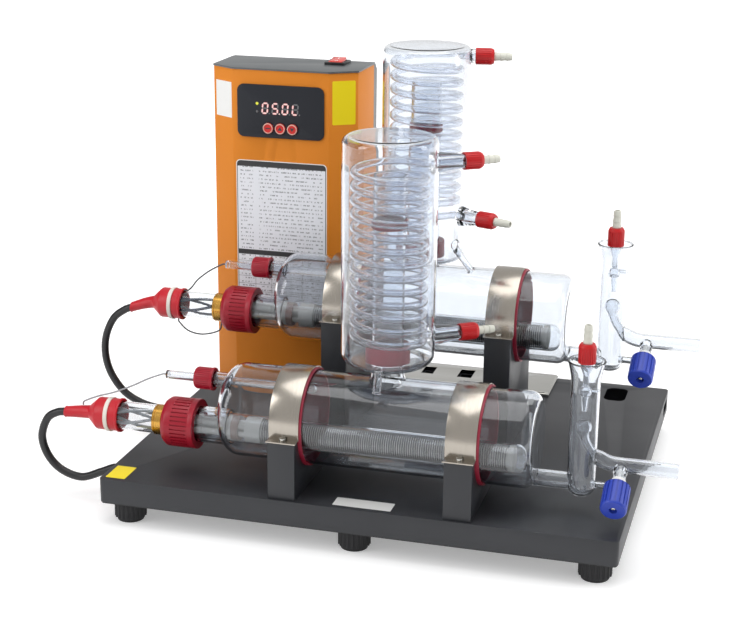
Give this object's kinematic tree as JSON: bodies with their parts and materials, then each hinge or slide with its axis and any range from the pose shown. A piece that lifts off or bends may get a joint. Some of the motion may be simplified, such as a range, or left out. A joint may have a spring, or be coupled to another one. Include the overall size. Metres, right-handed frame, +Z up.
{
  "type": "double-stage glass water distiller",
  "caption": "Bench-top glass water distiller: heated horizontal boilers in two stages, each with a coil condenser and a level chamber, on a steel tray with a control box.",
  "frame": {"origin": "on the table plane, under the centre of the base tray", "axes": "+X along the boilers towards the level chambers, +Y towards the control box and the rear stage, +Z up"},
  "size_m": [0.7099, 0.466, 0.493],
  "materials": {
    "tray_paint": "dark grey fine-textured powder coat",
    "bottom_paint": "black powder coat",
    "service_steel": "brushed with bevelled edges",
    "black_rubber": "matt",
    "cable_black": "satin cable jacket",
    "band_steel": "brushed along the band",
    "screw_steel": "bright",
    "silicone_red": "satin silicone",
    "clear_glass": "clear borosilicate",
    "coil_glass": "clear borosilicate tube",
    "quartz": "clear quartz",
    "cap_crimson": "ribbed, satin",
    "cap_red": "ribbed, satin",
    "barb_white": "off-white, satin",
    "stem_white": "white fluoropolymer",
    "knob_blue": "ribbed, satin",
    "brass": "satin",
    "ceramic": "unglazed",
    "heater_wire": "dull oxidised wire",
    "cover_orange": "fine-textured powder coat",
    "panel_black": "gloss",
    "switch_black": "satin",
    "rocker_red": "gloss translucent",
    "button_plastic": "satin",
    "board_green": "solder mask"
  },
  "bodies": {
    "frame": {"base_tray": "tray_paint", "bottom_plate": "bottom_paint", "service_plate": "service_steel", "cable_grommets": "black_rubber", "boiler_stands": "tray_paint", "clamp_bands": "band_steel", "band_liners": "silicone_red", "band_screws": "screw_steel", "front_boiler": "clear_glass", "rear_boiler": "clear_glass", "front_level_chamber": "clear_glass", "rear_level_chamber": "clear_glass", "feed_barbs": "barb_white", "heater_sheaths": "quartz", "heater_windings": "heater_wire", "heater_ceramics": "ceramic", "brass_collars": "brass", "silicone_seals": "silicone_red", "lead_boots": "silicone_red", "thermowells": "coil_glass", "box_chassis": "tray_paint", "box_cover": "cover_orange", "display_panel": "panel_black", "switch_frame": "switch_black", "control_board": "board_green", "front_heater_cable": "cable_black", "rear_heater_cable": "cable_black", "front_thermowell_lead": "cable_black", "rear_thermowell_lead": "cable_black", "rear_collar_lead": "cable_black"},
    "foot_front_left": {"foot_front_left": "black_rubber"},
    "foot_front_middle": {"foot_front_middle": "black_rubber"},
    "foot_front_right": {"foot_front_right": "black_rubber"},
    "foot_rear_left": {"foot_rear_left": "black_rubber"},
    "foot_rear_middle": {"foot_rear_middle": "black_rubber"},
    "foot_rear_right": {"foot_rear_right": "black_rubber"},
    "front_feed_cap": {"front_feed_cap": "cap_red"},
    "rear_feed_cap": {"rear_feed_cap": "cap_red"},
    "front_stopcock_stem": {"front_stopcock_stem": "stem_white"},
    "front_stopcock_knob": {"front_stopcock_knob": "knob_blue"},
    "rear_stopcock_stem": {"rear_stopcock_stem": "stem_white"},
    "rear_stopcock_knob": {"rear_stopcock_knob": "knob_blue"},
    "front_heater_cap": {"front_heater_cap": "cap_crimson"},
    "rear_heater_cap": {"rear_heater_cap": "cap_crimson"},
    "front_thermowell_cap": {"front_thermowell_cap": "cap_crimson"},
    "rear_thermowell_cap": {"rear_thermowell_cap": "cap_crimson"},
    "front_condenser": {"front_condenser_jacket": "clear_glass", "front_condenser_coil": "coil_glass", "front_port_barbs": "barb_white"},
    "rear_condenser": {"rear_condenser_jacket": "clear_glass", "rear_condenser_coil": "coil_glass", "rear_port_barbs": "barb_white"},
    "front_upper_port_cap": {"front_upper_port_cap": "cap_red"},
    "front_lower_port_cap": {"front_lower_port_cap": "cap_red"},
    "rear_upper_port_cap": {"rear_upper_port_cap": "cap_red"},
    "rear_lower_port_cap": {"rear_lower_port_cap": "cap_red"},
    "switch_rocker": {"switch_rocker": "rocker_red"},
    "button_left": {"button_left": "button_plastic"},
    "button_middle": {"button_middle": "button_plastic"},
    "button_right": {"button_right": "button_plastic"}
  },
  "joints": [
    {"name": "foot_front_left_turn", "type": "hinge", "parent": "frame", "child": "foot_front_left", "pos_m": [-0.252, -0.208, 0], "axis": [0, 0, 1], "continuous": true},
    {"name": "foot_front_middle_turn", "type": "hinge", "parent": "frame", "child": "foot_front_middle", "pos_m": [0, -0.208, 0], "axis": [0, 0, 1], "continuous": true},
    {"name": "foot_front_right_turn", "type": "hinge", "parent": "frame", "child": "foot_front_right", "pos_m": [0.252, -0.208, 0], "axis": [0, 0, 1], "continuous": true},
    {"name": "foot_rear_left_turn", "type": "hinge", "parent": "frame", "child": "foot_rear_left", "pos_m": [-0.252, 0.208, 0], "axis": [0, 0, 1], "continuous": true},
    {"name": "foot_rear_middle_turn", "type": "hinge", "parent": "frame", "child": "foot_rear_middle", "pos_m": [0, 0.208, 0], "axis": [0, 0, 1], "continuous": true},
    {"name": "foot_rear_right_turn", "type": "hinge", "parent": "frame", "child": "foot_rear_right", "pos_m": [0.252, 0.208, 0], "axis": [0, 0, 1], "continuous": true},
    {"name": "front_heater_cap_turn", "type": "hinge", "parent": "frame", "child": "front_heater_cap", "pos_m": [-0.185, -0.168, 0.101], "axis": [-1, 0, 0], "range_deg": [0, 540]},
    {"name": "front_thermowell_cap_turn", "type": "hinge", "parent": "frame", "child": "front_thermowell_cap", "pos_m": [-0.167, -0.168, 0.154], "axis": [-1, 0, 0], "range_deg": [0, 540]},
    {"name": "front_feed_cap_turn", "type": "hinge", "parent": "frame", "child": "front_feed_cap", "pos_m": [0.228, -0.168, 0.214], "axis": [0, 0, 1], "range_deg": [0, 540]},
    {"name": "front_stopcock_lift", "type": "slide", "parent": "frame", "child": "front_stopcock_stem", "axis": [0, -0.8988, -0.4384], "range_m": [0, 0.003]},
    {"name": "front_stopcock_turn", "type": "hinge", "parent": "front_stopcock_stem", "child": "front_stopcock_knob", "pos_m": [0.268, -0.168, 0.107], "axis": [0, -0.8988, -0.4384], "range_deg": [0, 720]},
    {"name": "rear_heater_cap_turn", "type": "hinge", "parent": "frame", "child": "rear_heater_cap", "pos_m": [-0.185, 0.018, 0.1745], "axis": [-1, 0, 0], "range_deg": [0, 540]},
    {"name": "rear_thermowell_cap_turn", "type": "hinge", "parent": "frame", "child": "rear_thermowell_cap", "pos_m": [-0.167, 0.018, 0.2275], "axis": [-1, 0, 0], "range_deg": [0, 540]},
    {"name": "rear_feed_cap_turn", "type": "hinge", "parent": "frame", "child": "rear_feed_cap", "pos_m": [0.228, 0.018, 0.2875], "axis": [0, 0, 1], "range_deg": [0, 540]},
    {"name": "rear_stopcock_lift", "type": "slide", "parent": "frame", "child": "rear_stopcock_stem", "axis": [0, -0.8988, -0.4384], "range_m": [0, 0.003]},
    {"name": "rear_stopcock_turn", "type": "hinge", "parent": "rear_stopcock_stem", "child": "rear_stopcock_knob", "pos_m": [0.268, 0.018, 0.1805], "axis": [0, -0.8988, -0.4384], "range_deg": [0, 720]},
    {"name": "front_condenser_lift", "type": "slide", "parent": "frame", "child": "front_condenser", "axis": [0, 0, 1], "range_m": [0, 0.15]},
    {"name": "front_lower_port_cap_turn", "type": "hinge", "parent": "front_condenser", "child": "front_lower_port_cap", "pos_m": [0.0873, -0.12297, 0.217], "axis": [0.8192, 0.5736, 0], "range_deg": [0, 540]},
    {"name": "front_upper_port_cap_turn", "type": "hinge", "parent": "front_condenser", "child": "front_upper_port_cap", "pos_m": [0.0873, -0.12297, 0.398], "axis": [0.8192, 0.5736, 0], "range_deg": [0, 540]},
    {"name": "rear_condenser_lift", "type": "slide", "parent": "frame", "child": "rear_condenser", "axis": [0, 0, 1], "range_m": [0, 0.15]},
    {"name": "rear_lower_port_cap_turn", "type": "hinge", "parent": "rear_condenser", "child": "rear_lower_port_cap", "pos_m": [0.08119, -0.00645, 0.31], "axis": [0.9397, -0.342, 0], "range_deg": [0, 540]},
    {"name": "rear_upper_port_cap_turn", "type": "hinge", "parent": "rear_condenser", "child": "rear_upper_port_cap", "pos_m": [0.06521, 0.02703, 0.482], "axis": [0.9848, 0.1736, 0], "range_deg": [0, 540]},
    {"name": "switch_rock", "type": "hinge", "parent": "frame", "child": "switch_rocker", "pos_m": [-0.126, 0.146, 0.449], "axis": [1, 0, 0], "range_deg": [-14, 0]},
    {"name": "button_left_press", "type": "slide", "parent": "frame", "child": "button_left", "axis": [0, 1, 0], "range_m": [0, 0.001], "stiffness_N_per_m": 400, "springref_m": -0.001},
    {"name": "button_middle_press", "type": "slide", "parent": "frame", "child": "button_middle", "axis": [0, 1, 0], "range_m": [0, 0.001], "stiffness_N_per_m": 400, "springref_m": -0.001},
    {"name": "button_right_press", "type": "slide", "parent": "frame", "child": "button_right", "axis": [0, 1, 0], "range_m": [0, 0.001], "stiffness_N_per_m": 400, "springref_m": -0.001}
  ],
  "couplings": [
    {"joint": "front_stopcock_lift", "follows": "front_stopcock_turn", "m_per_rad": 0.00023873},
    {"joint": "rear_stopcock_lift", "follows": "rear_stopcock_turn", "m_per_rad": 0.00023873}
  ]
}
